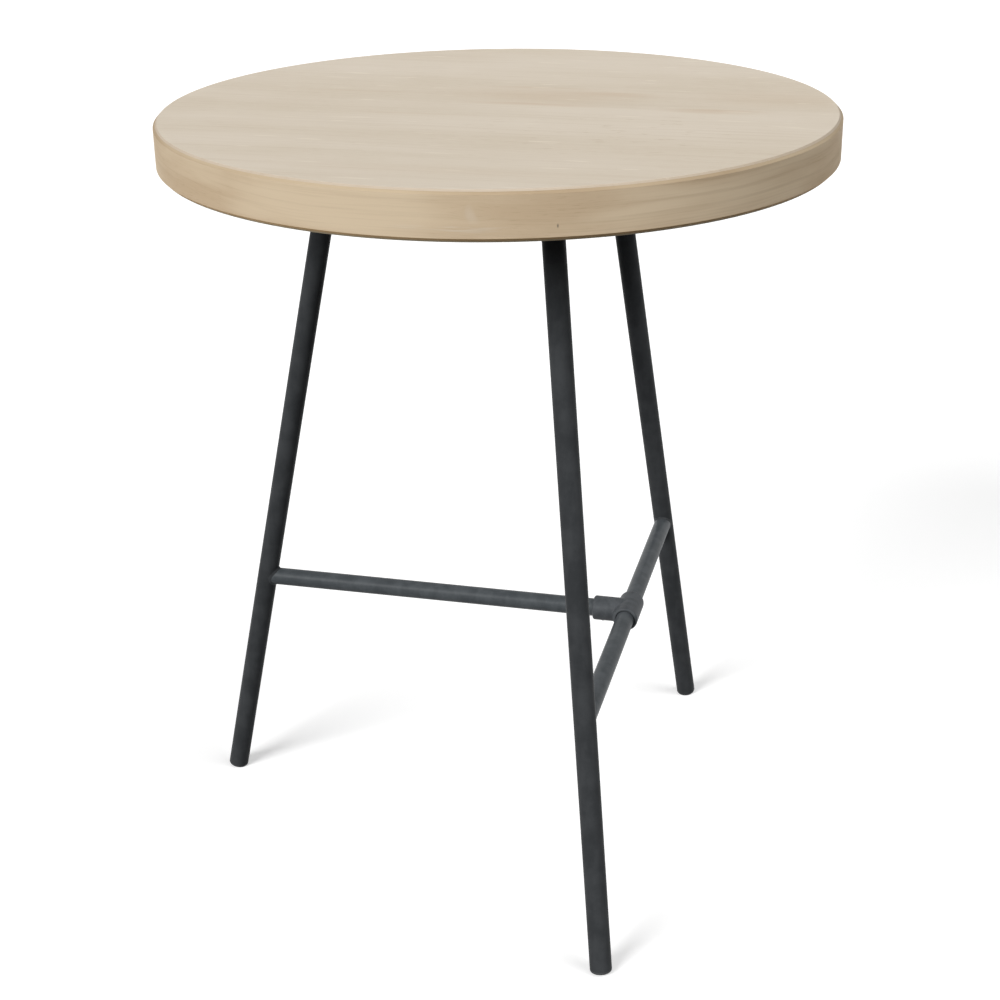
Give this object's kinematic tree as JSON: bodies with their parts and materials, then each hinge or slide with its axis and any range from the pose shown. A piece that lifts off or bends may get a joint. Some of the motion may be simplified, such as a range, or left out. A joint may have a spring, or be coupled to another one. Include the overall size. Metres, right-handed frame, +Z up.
{
  "type": "round table",
  "caption": "Round oak-faced table top on splayed round tube legs, braced by a straight stretcher and a crossbar that meet in a tee fitting.",
  "frame": {"origin": "on the floor, on the vertical line through the middle of the round top", "axes": "+Z up; X along the long stretcher, from the left leg on -X to the tee fitting on +X; Y along the crossbar, with the front leg on -Y and the right leg on +Y; the wood grain of the top runs along X"},
  "size_m": [0.6066, 0.5999, 0.715],
  "materials": {
    "oak_top": "matt lacquered pale oak veneer, straight grain along X",
    "oak_edge": "matt lacquered pale oak, grain running round the edge",
    "oak_under": "sanded oak balancing veneer",
    "core_board": "raw board",
    "leg_steel": "matt dark grey powder coat",
    "bar_steel": "matt dark grey powder coat",
    "tee_casting": "matt dark grey powder coat on a cast fitting",
    "weld_bead": "weld bead under the same coat",
    "foot_plastic": "matt dark grey plastic",
    "screw_steel": "black oxide",
    "insert_brass": "turned brass"
  },
  "bodies": {
    "root": {"bottom_veneer": "oak_under", "crossbar_front": "bar_steel", "crossbar_right": "bar_steel", "edge_lipping_back": "oak_edge", "edge_lipping_front": "oak_edge", "foot_cap_front": "foot_plastic", "foot_cap_left": "foot_plastic", "foot_cap_right": "foot_plastic", "leg_plate_front": "leg_steel", "leg_plate_left": "leg_steel", "leg_plate_right": "leg_steel", "leg_tube_front": "leg_steel", "leg_tube_left": "leg_steel", "leg_tube_right": "leg_steel", "long_stretcher": "bar_steel", "plate_screws": "screw_steel", "plate_welds": "weld_bead", "stretcher_welds": "weld_bead", "tee_connector": "tee_casting", "tee_grub_screws": "screw_steel", "threaded_inserts": "insert_brass", "top_core": "core_board", "top_veneer": "oak_top"}
  },
  "joints": []
}
